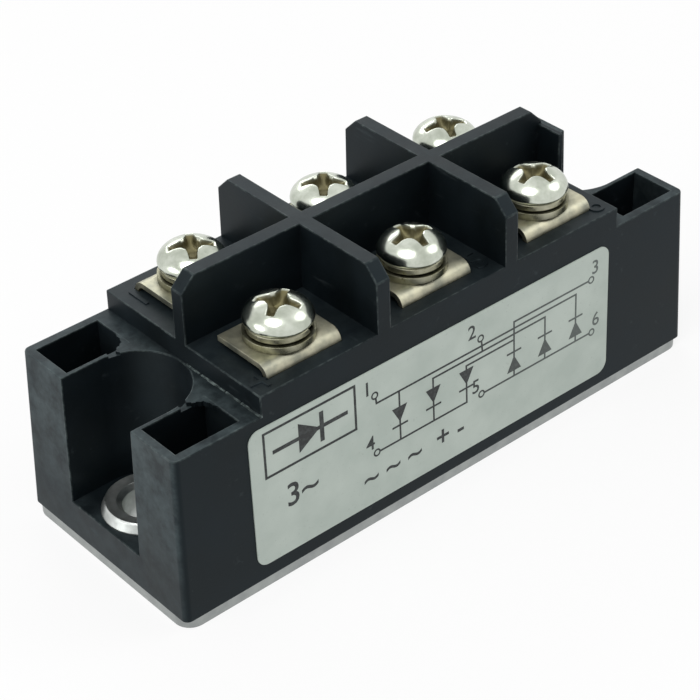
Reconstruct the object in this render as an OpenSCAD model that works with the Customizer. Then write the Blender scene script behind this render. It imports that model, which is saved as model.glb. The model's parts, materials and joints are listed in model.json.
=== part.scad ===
// Three-phase bridge rectifier module with six screw terminals.
// Millimetres. X runs along the module, the label is on the -Y side, Z is up.
// The origin is the middle of the base plate's underside.

/* [Base plate] */
// Thickness of the base plate
base_t = 1.5; // [1:0.1:4]
// Radius of the base plate's corners
base_corner_r = 2.5; // [1:0.5:4]
// Diameter of the mounting holes
hole_d = 6.5; // [5.5:0.1:7.5]
// Distance from a mounting hole to the nearer end of the base plate
hole_edge = 7; // [6:0.5:10]

/* [Housing] */
// Height of the middle block above the base plate
middle_h = 28.5; // [25:0.5:34]
// Step from the end blocks up to the middle block
end_step = 3; // [1:0.5:6]
// Distance from the outer terminals to the ends of the middle block
terminal_margin = 3.1; // [2.5:0.1:6]
// Distance from the terminals to the long sides of the base plate
side_margin = 3.25; // [2.75:0.25:6]
// Height of the barriers above the middle block
barrier_h = 10; // [8:0.5:14]
// Thickness of the barriers
barrier_t = 2.3; // [1.6:0.1:3]
// Size of the slanted corner at each barrier end
barrier_cut = 2.2; // [1:0.1:4]
// Draft of the housing's outer faces in degrees
draft = 1.8; // [0.5:0.1:2.5]
// Radius of the housing's upright corners
housing_corner_r = 1; // [0.5:0.1:2]
// Length of the short return at one end of the long barrier
return_l = 4.3; // [3:0.1:5]
// Thickness of the return
return_t = 0.8; // [0.6:0.1:1.5]
// Distance from the barriers' top down to the return's top
return_drop = 2.5; // [0.5:0.5:5]

/* [Recesses and wells] */
// Height of the recess floor above the base plate
recess_floor_h = 5.3; // [4:0.1:7]
// Radius of the recess and half its width
recess_r = 7.5; // [6.5:0.1:8.5]
// Thickness left between a recess and the middle block
recess_wall = 0.2; // [0.2:0.1:2]
// Thickness of the web between a recess and a well
web_t = 0.65; // [0.5:0.05:1.5]
// Thickness of the outer walls round a well, at the foot
well_wall = 2.2; // [1.8:0.1:3]
// Thickness of the wall between a well and the middle block
well_inner_wall = 2.7; // [1.5:0.1:4]
// Height of the well floor above the base plate
well_floor_h = 3; // [1.5:0.5:6]

/* [Terminals] */
// Distance between terminals along a row
terminal_pitch = 23; // [20:0.5:26]
// Distance between the two rows of terminals
row_pitch = 18; // [16:0.5:22]
// Width of a terminal
terminal_w = 12.4; // [11:0.1:14]
// Distance from a terminal's hole to its inner edge
terminal_inner_l = 5; // [4:0.1:6]
// Thickness of the terminal strip
terminal_t = 0.8; // [0.6:0.1:1.2]
// Outer radius of the terminal's bend
terminal_bend_r = 1.8; // [1.4:0.1:2.4]
// Gap between the middle block and the underside of a terminal
terminal_gap = 0.8; // [0.4:0.1:1.2]
// Width of a terminal's leg inside the housing
leg_w = 8; // [5:0.5:9]
// Length of a terminal's foot on its copper pad
foot_l = 3; // [2:0.1:3.4]

/* [Screws, washers and nuts] */
// Thread diameter of the terminal screws
screw_d = 5; // [4.5:0.5:6]
// Length of the screws under the head
screw_l = 12; // [10:0.5:14]
// Diameter of the screw heads
head_d = 9.5; // [8.5:0.1:10.5]
// Height of the screw heads
head_h = 3.2; // [2.8:0.1:4]
// Radius of the rounded edge under a screw head
head_edge_r = 0.5; // [0.3:0.1:1]
// Length of the cross recess across the head
cross_l = 5.6; // [4.6:0.1:7.6]
// Width of the cross recess's arms at their ends
cross_w = 0.8; // [0.6:0.1:1.6]
// Depth of the cross recess
cross_depth = 2.2; // [1.6:0.1:2.6]
// Outer diameter of the flat washers
flat_washer_d = 9.7; // [9:0.1:11]
// Thickness of the flat washers
flat_washer_t = 1; // [0.8:0.1:1.2]
// Outer diameter of the spring washers
spring_washer_d = 8.9; // [8.2:0.1:10]
// Thickness of the spring washers
spring_washer_t = 1.3; // [1:0.1:1.5]
// Size of the slanted edges round the spring washers
spring_edge = 0.3; // [0.1:0.05:0.4]
// Width of the split in a spring washer
spring_split = 0.9; // [0.5:0.1:1.5]
// Width across the flats of the captive nuts
nut_af = 8; // [7:0.5:9]
// Height of the captive nuts
nut_h = 4; // [3.5:0.1:4.5]

/* [Mounting bushes] */
// Thickness of a bush round its hole
bush_wall = 1.25; // [1:0.05:1.5]
// Distance by which a bush's collar overlaps the recess floor
bush_rim = 1.6; // [0.6:0.1:1.8]
// Height of a bush's collar
bush_collar_h = 1.5; // [1:0.1:2]

/* [Inside] */
// Thickness of the moulding round the inside
wall_t = 1.9; // [1.6:0.1:2.2]
// Thickness of the moulding over the inside
deck_t = 3.6; // [3:0.1:4]
// Thickness of the ceramic substrate
ceramic_t = 0.8; // [0.6:0.1:1.2]
// Thickness of the copper pads
pad_t = 0.3; // [0.2:0.1:0.5]
// Gap between neighbouring copper pads
pad_gap = 1; // [0.8:0.1:1.4]
// Side of a square diode chip
chip_w = 5.8; // [5:0.1:6.4]
// Thickness of a diode chip
chip_t = 0.4; // [0.3:0.1:0.6]
// Thickness of the clips and of the strap
clip_t = 0.6; // [0.4:0.1:0.8]
// Width of the clips and of the strap
clip_w = 2.6; // [2:0.1:3]
// Height of the clips and of the strap above the chips
clip_rise = 1.2; // [0.8:0.1:2]
// Depth of the gel over the base plate
gel_h = 8; // [6:0.5:12]

/* [Label] */
// Distance from the module's -X end to the label
label_left = 12.1; // [8:0.1:20]
// Distance from the label to the module's +X end
label_right = 16.5; // [8:0.1:20]
// Distance from the foot of the housing up to the label
label_foot = 2.1; // [0.5:0.1:4]
// Distance from the label up to the top of the end blocks
label_head = 1.8; // [0.5:0.1:4]
// Thickness of the label
label_t = 0.15; // [0.1:0.05:0.3]
// Radius of the label's corners
label_r = 1.8; // [0.5:0.1:3]
// Angle at which the label slopes down towards +X in degrees
label_slope = 0.3; // [0:0.1:1]

/* [Hidden] */
$fn = 64;

phase_count = 3;
terminal_count = 2 * phase_count;

// Clearances
fit = 0.1;          // a piece held in a seat of its own
leg_gap = 0.2;      // a terminal's leg beside its nut
screw_gap = 0.25;   // a screw in a washer or a terminal
cut = 1;            // how far a cutting shape runs past a face

// A terminal reaches out over its nut; the rows and columns of terminals set the module's size
terminal_reach = nut_af / 2 + leg_gap + terminal_t;
middle_l = (phase_count - 1) * terminal_pitch + terminal_w + 2 * terminal_margin;
hole_pitch = middle_l + 2 * (recess_wall + recess_r);
base_l = hole_pitch + 2 * hole_edge;
base_w = row_pitch + 2 * (terminal_reach + side_margin);
end_h = middle_h - end_step;
// The cross barriers end flush with the long sides of the middle block
cross_barrier_l = base_w - 2 * middle_h * tan(draft);

// Heights above the underside
housing_z = base_t;
end_z = housing_z + end_h;
middle_z = housing_z + middle_h;
barrier_z = middle_z + barrier_h;
return_z = barrier_z - return_drop;
recess_z = housing_z + recess_floor_h;
well_z = housing_z + well_floor_h;
deck_z = middle_z - deck_t;
seat_z = middle_z + terminal_gap;
terminal_z = seat_z + terminal_t;
spring_z = terminal_z + flat_washer_t;
head_z = spring_z + spring_washer_t;
nut_z = middle_z - nut_h;
screw_end_z = head_z - screw_l;
pad_z = base_t + ceramic_t;
chip_z = pad_z + pad_t;
clip_z = chip_z + chip_t;
bridge_z = clip_z + clip_rise;
gel_z = base_t + gel_h;

// The hollow inside the middle block
cavity_l = middle_l - 2 * wall_t;
cavity_w = base_w - 2 * wall_t - 2 * (deck_z - housing_z) * tan(draft) + 2 * fit;

// Screws
screw_point = 0.5;      // slanted end of a screw
cross_flare = 2.2;      // how many times wider the recess's arms are at the middle
cross_rim = 0.4;        // share of the recess's depth at which its arms start to slope

// Nut seats
nut_r = nut_af / 2 / cos(30);
boss_wall = 0.8;
boss_r = nut_r + boss_wall;
boss_floor = 1.2;       // moulding under a screw's end
boss_z = screw_end_z - boss_floor;
leg_inner_y = -nut_af / 2;

// Bushes
bush_spigot_d = hole_d + 2 * bush_wall;
bush_collar_d = bush_spigot_d + 2 * bush_rim;
bush_lean = 0.5;        // how far the collar's side leans in
bush_edge = 0.2;        // slanted edges of the collar
bush_dish = 0.2;        // fall of the collar's top toward the hole
bush_funnel = 0.7;      // width and depth of the funnel at the top of the hole

// Wells, one on each side of a recess
well_x = middle_l / 2 + well_inner_wall;
well_l = base_l / 2 - well_wall - well_x;
well_y = recess_r + web_t;
well_w = base_w / 2 - well_wall - well_y;

// The substrate and its pads fill the hollow, less a border
border = 0.3;
ceramic_l = cavity_l - 2 * border;
ceramic_w = cavity_w - 2 * border;
pads_l = ceramic_l - 2 * border;
pads_w = ceramic_w - 2 * border;
phase_pad_l = (pads_l - 2 * pad_gap) / phase_count;
phase_pad_step = phase_pad_l + pad_gap;
pad_split_y = 1.5;      // the phase pads start here, on the +Y side
chip_margin = 0.4;      // from a chip or a clip to the edge of its pad
foot_y = row_pitch / 2 + terminal_reach - foot_l;

// Chips, clips and strap, measured from the middle of their phase pad
lower_chip_x = phase_pad_l / 2 - chip_w / 2 - chip_margin;
lower_chip_y = (pad_split_y - pad_gap - foot_y) / 2;
clip_land_y = pad_split_y + clip_w / 2 + chip_margin;
upper_chip_x = -(lower_chip_x - clip_w / 2);
upper_chip_y = (clip_land_y + clip_t + foot_y) / 2;
strap_x = -(phase_pad_l / 2 - clip_w / 2 - chip_margin);
strap_land_y = lower_chip_y;
negative_pad_l = phase_pad_l - chip_w - 2 * chip_margin - pad_gap;

// Label
label_l = base_l - label_left - label_right;
label_h = end_h - label_foot - label_head;
label_x = (label_left - label_right) / 2;
label_z = label_foot + label_h / 2;

// Where each spring washer's split and each screw's cross recess came to stand, in degrees
split_turns = [70, 140, 210, 300, 20, 75];
screw_turns = [58, 50, 69, 37, -3, 8];

function phase_x(i) = (i - 2) * phase_pad_step;
function terminal_x(i) = (((i - 1) % phase_count) - 1) * terminal_pitch;
// Terminals 1 to 3 are the phases, on the +Y side; 4 to 6 are the outputs, on the -Y side
function terminal_side(i) = i <= phase_count ? 1 : -1;

// ---------- shared shapes ----------

// Block whose four sides lean in by the draft, standing on the base plate
module drafted_block(length, width, height) {
    lean = height * tan(draft);
    hull()
        for (sx = [-1, 1], sy = [-1, 1])
            translate([sx * (length / 2 - housing_corner_r), sy * (width / 2 - housing_corner_r), 0])
                multmatrix([
                    [1, 0, -sx * lean / height, 0],
                    [0, 1, -sy * lean / height, 0],
                    [0, 0, 1, 0]
                ])
                    cylinder(r = housing_corner_r, h = height, $fn = 32);
}

// Flat bar with its middle at x, y and its underside at z
module bar(x, y, z, size) {
    translate([x - size[0] / 2, y - size[1] / 2, z])
        cube(size);
}

// Wall standing on the middle block, with slanted top corners
module barrier(length) {
    rotate([90, 0, 0])
        translate([0, 0, -barrier_t / 2])
            linear_extrude(barrier_t)
                polygon([
                    [-length / 2, deck_z],
                    [length / 2, deck_z],
                    [length / 2, barrier_z - barrier_cut],
                    [length / 2 - barrier_cut, barrier_z],
                    [-length / 2 + barrier_cut, barrier_z],
                    [-length / 2, barrier_z - barrier_cut]
                ]);
}

// Puts its children at each of the six terminals, turned so that -Y faces outward
module at_terminals() {
    for (i = [1:terminal_count])
        at_terminal(i)
            children();
}

module at_terminal(i) {
    translate([terminal_x(i), terminal_side(i) * row_pitch / 2, 0])
        rotate(terminal_side(i) > 0 ? 180 : 0)
            children();
}

module at_ends() {
    for (turn = [0, 180])
        rotate(turn)
            children();
}

// ---------- base plate and bushes ----------

module base_plate() {
    color("silver")
        linear_extrude(base_t)
            difference() {
                rounded_rectangle(base_l, base_w, base_corner_r);
                for (sx = [-1, 1])
                    translate([sx * hole_pitch / 2, 0])
                        circle(d = hole_d);
            }
}

module rounded_rectangle(length, width, radius) {
    square([length - 2 * radius, width], center = true);
    square([length, width - 2 * radius], center = true);
    for (sx = [-1, 1], sy = [-1, 1])
        translate([sx * (length / 2 - radius), sy * (width / 2 - radius)])
            circle(radius);
}

// Ring that carries the mounting screw's head. The collar's side leans in, and its top is dished
// and runs down into the hole in a funnel.
module bush() {
    spigot_r = bush_spigot_d / 2;
    collar_r = bush_collar_d / 2;
    lip_r = collar_r - bush_lean;
    top_z = recess_z + bush_collar_h;
    funnel_r = hole_d / 2 + bush_funnel;
    color("gainsboro")
        rotate_extrude()
            polygon([
                [hole_d / 2, base_t],
                [spigot_r, base_t],
                [spigot_r, recess_z],
                [collar_r, recess_z],
                [collar_r, recess_z + bush_edge],
                [lip_r, top_z - bush_edge],
                [lip_r - bush_edge, top_z],
                [funnel_r, top_z - bush_dish],
                [hole_d / 2, top_z - bush_dish - bush_funnel]
            ]);
}

// ---------- housing ----------

module housing() {
    color("#2a3035")
        difference() {
            union() {
                housing_shell();
                nut_seats();
                barrier(middle_l);
                for (sx = [-1, 1])
                    translate([sx * terminal_pitch / 2, 0, 0])
                        rotate(90)
                            barrier(cross_barrier_l);
                barrier_return();
            }
            at_terminals() {
                nut_pocket();
                leg_slot();
            }
        }
}

module housing_shell() {
    difference() {
        union() {
            translate([0, 0, housing_z])
                drafted_block(base_l, base_w, end_h);
            intersection() {
                translate([0, 0, housing_z])
                    drafted_block(base_l, base_w, middle_h);
                translate([-middle_l / 2, -base_w / 2, housing_z])
                    cube([middle_l, base_w, middle_h]);
            }
        }
        bar(0, 0, housing_z - cut, [cavity_l, cavity_w, deck_z - housing_z + cut]);
        at_ends() {
            recess();
            for (side = [-1, 1])
                translate([well_x, side > 0 ? well_y : -well_y - well_w, well_z])
                    cube([well_l, well_w, end_z]);
        }
    }
}

// U-shaped space for a mounting screw, open at the end, with the bush's hole in its floor
module recess() {
    translate([hole_pitch / 2, 0, recess_z])
        cylinder(r = recess_r, h = end_z);
    translate([hole_pitch / 2, -recess_r, recess_z])
        cube([base_l, 2 * recess_r, end_z]);
    translate([hole_pitch / 2, 0, housing_z - cut])
        cylinder(d = bush_spigot_d + 2 * fit, h = end_z);
}

// Short wall that turns the long barrier's +X end toward the -Y row
module barrier_return() {
    translate([middle_l / 2 - return_t, -barrier_t / 2 - return_l, deck_z])
        cube([return_t, return_l + fit, return_z - deck_z]);
}

// Bosses that hang below the deck and hold the nuts, each cut flat beside its terminal's leg
module nut_seats() {
    at_terminals()
        difference() {
            translate([0, 0, boss_z])
                cylinder(r = boss_r, h = middle_z - boss_z);
            translate([-boss_r, leg_inner_y - boss_r, boss_z - cut])
                cube([2 * boss_r, boss_r, deck_z - boss_z + cut]);
        }
}

module nut_pocket() {
    translate([0, 0, nut_z])
        cylinder(r = nut_r + fit, h = nut_h + cut, $fn = 6);
    translate([0, 0, screw_end_z - fit])
        cylinder(d = screw_d + 2 * screw_gap, h = middle_z - screw_end_z + cut);
}

// Slot for a terminal's leg, open to the nut's pocket
module leg_slot() {
    slot_y = -terminal_reach - fit;
    translate([-terminal_w / 2 - fit, slot_y, deck_z - cut])
        cube([terminal_w + 2 * fit, leg_inner_y - slot_y, deck_t + 2 * cut]);
}

// ---------- terminals ----------

// Folded strip: flat top with a hole, rounded bend, leg down to the pad and a foot turned inward
module terminal() {
    color("#b3ab95")
        difference() {
            union() {
                rotate([90, 0, 90])
                    translate([0, 0, -terminal_w / 2])
                        linear_extrude(terminal_w)
                            terminal_top_profile();
                rotate([90, 0, 90])
                    translate([0, 0, -leg_w / 2])
                        linear_extrude(leg_w)
                            terminal_leg_profile();
            }
            translate([0, 0, seat_z - cut])
                cylinder(d = screw_d + 2 * screw_gap, h = terminal_t + 2 * cut);
        }
}

// Side view of the top, the bend and the wide part of the leg in the deck's slot
module terminal_top_profile() {
    outer = -terminal_reach;
    translate([outer + terminal_bend_r, seat_z])
        square([terminal_reach + terminal_inner_l - terminal_bend_r, terminal_t]);
    intersection() {
        translate([outer + terminal_bend_r, terminal_z - terminal_bend_r])
            difference() {
                circle(terminal_bend_r);
                circle(terminal_bend_r - terminal_t);
            }
        translate([outer, terminal_z - terminal_bend_r])
            square(terminal_bend_r);
    }
    translate([outer, deck_z])
        square([terminal_t, terminal_z - terminal_bend_r - deck_z]);
}

module terminal_leg_profile() {
    outer = -terminal_reach;
    translate([outer, chip_z])
        square([terminal_t, deck_z - chip_z + terminal_t]);
    translate([outer, chip_z])
        square([foot_l, terminal_t]);
}

// ---------- screws, washers and nuts ----------

module captive_nuts() {
    color("silver")
        at_terminals()
            translate([0, 0, nut_z])
                difference() {
                    cylinder(r = nut_r, h = nut_h, $fn = 6);
                    translate([0, 0, -cut])
                        cylinder(d = screw_d + 2 * fit, h = nut_h + 2 * cut);
                }
}

module flat_washers() {
    color("lightgray")
        at_terminals()
            washer(terminal_z, flat_washer_d, flat_washer_t, 0);
}

module spring_washers() {
    color("gray")
        for (i = [1:terminal_count])
            at_terminal(i)
                difference() {
                    washer(spring_z, spring_washer_d, spring_washer_t, spring_edge);
                    rotate(split_turns[i - 1])
                        translate([spring_washer_d / 2, 0, spring_z + spring_washer_t / 2])
                            rotate([35, 0, 0])
                                cube([spring_washer_d, spring_split, 3 * spring_washer_t], center = true);
                }
}

// Washer with its underside at z and slanted outer edges
module washer(z, diameter, thickness, edge) {
    inner = screw_d / 2 + screw_gap;
    outer = diameter / 2;
    translate([0, 0, z])
        rotate_extrude()
            polygon([
                [inner, 0],
                [outer - edge, 0],
                [outer, edge],
                [outer, thickness - edge],
                [outer - edge, thickness],
                [inner, thickness]
            ]);
}

module terminal_screws() {
    color("whitesmoke")
        for (i = [1:terminal_count])
            at_terminal(i)
                rotate(screw_turns[i - 1])
                    screw();
}

// Pan-head screw: rounded under the edge, domed top and a cross recess
module screw() {
    head_r = head_d / 2;
    dome_h = head_h - head_edge_r;
    difference() {
        translate([0, 0, head_z])
            rotate_extrude()
                polygon(concat(
                    [
                        [0, -screw_l],
                        [screw_d / 2 - screw_point, -screw_l],
                        [screw_d / 2, -screw_l + screw_point],
                        [screw_d / 2, 0]
                    ],
                    [for (a = [-90:30:-30]) [head_r - head_edge_r * (1 - cos(a)), head_edge_r * (1 + sin(a))]],
                    [for (a = [0:7.5:90]) [head_r * cos(a), head_edge_r + dome_h * sin(a)]]
                ));
        for (turn = [0, 90])
            rotate(turn)
                cross_arms();
    }
}

// Two opposite arms of the recess. They widen toward the middle, and their floor slopes down to it.
module cross_arms() {
    top = head_z + head_h;
    bottom = top - cross_depth;
    middle_w = cross_w * cross_flare;
    intersection() {
        rotate([90, 0, 0])
            translate([0, 0, -middle_w])
                linear_extrude(2 * middle_w)
                    polygon([
                        [-cross_l / 2, top + cut],
                        [-cross_l / 2, top - cross_depth * cross_rim],
                        [-cross_w, bottom],
                        [cross_w, bottom],
                        [cross_l / 2, top - cross_depth * cross_rim],
                        [cross_l / 2, top + cut]
                    ]);
        translate([0, 0, bottom - cut])
            linear_extrude(cross_depth + 2 * cut)
                polygon([
                    [-cross_l / 2, -cross_w / 2],
                    [-middle_w / 2, -middle_w / 2],
                    [middle_w / 2, -middle_w / 2],
                    [cross_l / 2, -cross_w / 2],
                    [cross_l / 2, cross_w / 2],
                    [middle_w / 2, middle_w / 2],
                    [-middle_w / 2, middle_w / 2],
                    [-cross_l / 2, cross_w / 2]
                ]);
    }
}

// ---------- inside ----------

module ceramic_substrate() {
    color("ivory")
        bar(0, 0, base_t, [ceramic_l, ceramic_w, ceramic_t]);
}

// A phase pad carries one upper chip, one clip and one phase terminal
module phase_pad(i) {
    pad_y = (pads_w / 2 + pad_split_y) / 2;
    color("peru")
        bar(phase_x(i), pad_y, pad_z, [phase_pad_l, pads_w / 2 - pad_split_y, pad_t]);
}

module output_pad(from_x, to_x) {
    front_y = -pads_w / 2;
    color("peru")
        translate([from_x, front_y, pad_z])
            cube([to_x - from_x, pad_split_y - pad_gap - front_y, pad_t]);
}

module negative_pad() {
    output_pad(-pads_l / 2, -pads_l / 2 + negative_pad_l);
}

module positive_pad() {
    output_pad(-pads_l / 2 + negative_pad_l + pad_gap, pads_l / 2);
}

// Chips 1 to 3 lie on the phase pads, chips 4 to 6 on the positive pad
function chip_x(i) = i <= phase_count
    ? phase_x(i) + upper_chip_x
    : phase_x(i - phase_count) + lower_chip_x;
function chip_y(i) = i <= phase_count ? upper_chip_y : lower_chip_y;

module diode_chip(i) {
    color("dimgray")
        bar(chip_x(i), chip_y(i), chip_z, [chip_w, chip_w, chip_t]);
}

// Bridge from a lower chip's top to its phase pad
module phase_clip(i) {
    x = phase_x(i) + lower_chip_x;
    color("chocolate")
        translate([x + clip_w / 2, 0, 0])
            rotate([90, 0, -90])
                linear_extrude(clip_w)
                    polygon([
                        [-lower_chip_y + clip_w / 2, clip_z],
                        [-lower_chip_y + clip_w / 2, bridge_z + clip_t],
                        [-clip_land_y - clip_t, bridge_z + clip_t],
                        [-clip_land_y - clip_t, chip_z],
                        [-clip_land_y, chip_z],
                        [-clip_land_y, bridge_z],
                        [-lower_chip_y - clip_w / 2, bridge_z],
                        [-lower_chip_y - clip_w / 2, clip_z]
                    ]);
}

// Strap over the upper chips, with a foot on each and a leg down to the negative pad
module negative_strap() {
    from_x = phase_x(1) + strap_x - clip_w / 2;
    to_x = chip_x(phase_count) + clip_w / 2;
    color("chocolate") {
        translate([from_x, upper_chip_y - clip_w / 2, bridge_z])
            cube([to_x - from_x, clip_w, clip_t]);
        for (i = [1:phase_count])
            bar(chip_x(i), upper_chip_y, clip_z, [clip_w, clip_w, clip_rise]);
        translate([from_x, strap_land_y, bridge_z])
            cube([clip_w, upper_chip_y - strap_land_y, clip_t]);
        translate([from_x, strap_land_y, chip_z])
            cube([clip_w, clip_t, bridge_z - chip_z]);
    }
}

// Everything that stands in the gel
module inner_parts() {
    ceramic_substrate();
    negative_pad();
    positive_pad();
    negative_strap();
    for (i = [1:phase_count]) {
        phase_pad(i);
        phase_clip(i);
    }
    for (i = [1:terminal_count])
        diode_chip(i);
}

module terminal_legs() {
    at_terminals()
        rotate([90, 0, 90])
            translate([0, 0, -leg_w / 2])
                linear_extrude(leg_w)
                    terminal_leg_profile();
}

module silicone_gel() {
    color("lightblue")
        difference() {
            bar(0, 0, base_t, [cavity_l, cavity_w, gel_h]);
            inner_parts();
            terminal_legs();
        }
}

module epoxy_fill() {
    color("darkslategray")
        difference() {
            bar(0, 0, gel_z, [cavity_l, cavity_w, deck_z - gel_z]);
            terminal_legs();
            nut_seats();
        }
}

// ---------- label ----------

// Foil on the -Y side, leaning with the housing's draft
module label() {
    color("#a8b2aa")
        translate([label_x, -base_w / 2 + label_z * tan(draft), housing_z + label_z])
            rotate([90 - draft, 0, 0])
                rotate(-label_slope)
                    linear_extrude(label_t)
                        rounded_rectangle(label_l, label_h, label_r);
}

// ---------- assembly ----------

base_plate();
housing();
translate([-hole_pitch / 2, 0, 0]) bush();  // bush_left
translate([hole_pitch / 2, 0, 0]) bush();  // bush_right
label();
ceramic_substrate();
negative_pad();
positive_pad();
negative_strap();
silicone_gel();
epoxy_fill();
captive_nuts();
flat_washers();
spring_washers();
terminal_screws();
for (i = [1:phase_count]) {
    phase_pad(i);
    phase_clip(i);
}
for (i = [1:terminal_count]) {
    diode_chip(i);
    at_terminal(i) terminal();
}
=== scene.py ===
import json
import math
import random

import bmesh
import bpy
from mathutils import Matrix, Vector


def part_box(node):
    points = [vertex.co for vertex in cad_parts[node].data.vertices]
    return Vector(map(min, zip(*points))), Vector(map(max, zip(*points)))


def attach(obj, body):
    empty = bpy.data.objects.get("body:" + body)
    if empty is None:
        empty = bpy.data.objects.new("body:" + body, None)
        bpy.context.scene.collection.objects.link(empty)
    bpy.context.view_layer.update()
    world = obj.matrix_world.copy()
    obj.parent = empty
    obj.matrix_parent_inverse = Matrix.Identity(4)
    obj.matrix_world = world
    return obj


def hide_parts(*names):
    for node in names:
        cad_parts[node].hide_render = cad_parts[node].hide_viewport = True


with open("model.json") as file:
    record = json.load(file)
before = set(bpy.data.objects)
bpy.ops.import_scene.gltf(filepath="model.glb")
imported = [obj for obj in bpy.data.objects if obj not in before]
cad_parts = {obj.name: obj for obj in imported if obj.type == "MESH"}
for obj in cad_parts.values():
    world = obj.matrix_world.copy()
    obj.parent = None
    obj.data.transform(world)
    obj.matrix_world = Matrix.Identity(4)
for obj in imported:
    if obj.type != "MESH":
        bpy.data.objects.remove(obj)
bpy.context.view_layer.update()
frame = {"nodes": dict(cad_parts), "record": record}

MM = 0.001


# ---------- small helpers for materials ----------

def colour(hex_code):
    """An sRGB hex colour as linear RGBA."""
    channels = [int(hex_code[i:i + 2], 16) / 255 for i in (1, 3, 5)]
    linear = [c / 12.92 if c <= 0.04045 else ((c + 0.055) / 1.055) ** 2.4 for c in channels]
    return (*linear, 1.0)


def put(tree, kind, inputs=None, **settings):
    """Adds a node with its settings. Each input takes a value, an output of another node, or a
    node, which stands for the first of its outputs that is in use."""
    node = tree.nodes.new(kind)
    for name, value in settings.items():
        setattr(node, name, value)
    for key, value in (inputs or {}).items():
        if isinstance(value, bpy.types.Node):
            value = next(output for output in value.outputs if output.enabled)
        if isinstance(value, bpy.types.NodeSocket):
            tree.links.new(value, node.inputs[key])
        else:
            node.inputs[key].default_value = value
    return node


def new_material(name):
    """A material and its tree, empty."""
    material = bpy.data.materials.new(name)
    material.use_nodes = True
    tree = material.node_tree
    tree.nodes.clear()
    return material, tree


def spots(size_mm):
    """The scale of a noise whose spots are about size_mm across."""
    return 1.0 / (size_mm * MM)


# ---------- materials ----------

# Where the housing is paled: painted light on the end faces, and a bloom on the tops that hands rub;
# each pair is where a zone begins and where it is full
NEAR_END_X = (44.0 * MM, 46.0 * MM)     # the end faces
UP_THE_END_Z = (6.0 * MM, 20.0 * MM)    # an end face, from its foot to its top
TOP_Z = (18.0 * MM, 25.0 * MM)          # the tops, not the floors of the wells and recesses
PAST_STEP_X = (32.0 * MM, 34.0 * MM)    # the end blocks, not the middle


def end_light_and_hand_reach(tree, place):
    """1 on the end faces, which painted light pales, and on the tops that hands reach, close to 0
    elsewhere.
    """
    normal = put(tree, "ShaderNodeTexCoord").outputs["Normal"]
    facing = put(tree, "ShaderNodeSeparateXYZ", {"Vector": normal})
    spot = put(tree, "ShaderNodeSeparateXYZ", {"Vector": place})
    from_middle = put(tree, "ShaderNodeMath", {0: spot.outputs["X"]}, operation="ABSOLUTE")
    sideways = put(tree, "ShaderNodeMath", {0: facing.outputs["Y"]}, operation="ABSOLUTE")
    # Painted light: the end faces are paled, more toward their tops, as if lit from the side
    end = put(tree, "ShaderNodeMath", {
        0: put(tree, "ShaderNodeMapRange", {
            "Value": from_middle, "From Min": NEAR_END_X[0], "From Max": NEAR_END_X[1],
            "To Min": 0.1,
        }),
        1: put(tree, "ShaderNodeMapRange", {
            "Value": spot.outputs["Z"], "From Min": UP_THE_END_Z[0], "From Max": UP_THE_END_Z[1],
            "To Min": 0.3,
        }),
    }, operation="MULTIPLY")
    top = put(tree, "ShaderNodeMath", {
        0: put(tree, "ShaderNodeMapRange", {
            "Value": facing.outputs["Z"], "From Min": 0.5, "From Max": 0.9, "To Max": 0.9,
        }),
        1: put(tree, "ShaderNodeMapRange", {
            "Value": spot.outputs["Z"], "From Min": TOP_Z[0], "From Max": TOP_Z[1],
        }),
    }, operation="MULTIPLY")
    on_end_block = put(tree, "ShaderNodeMapRange", {
        "Value": from_middle, "From Min": PAST_STEP_X[0], "From Max": PAST_STEP_X[1],
        "To Min": 0.2,
    })
    off_long_side = put(tree, "ShaderNodeMapRange", {
        "Value": sideways, "From Min": 0.5, "From Max": 0.9, "To Min": 1.0, "To Max": 0.0,
    })
    light_or_reach = put(tree, "ShaderNodeMath", {0: end, 1: top}, operation="MAXIMUM")
    light_or_reach = put(tree, "ShaderNodeMath", {0: light_or_reach, 1: on_end_block}, operation="MULTIPLY")
    return put(tree, "ShaderNodeMath", {0: light_or_reach, 1: off_long_side}, operation="MULTIPLY")


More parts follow.
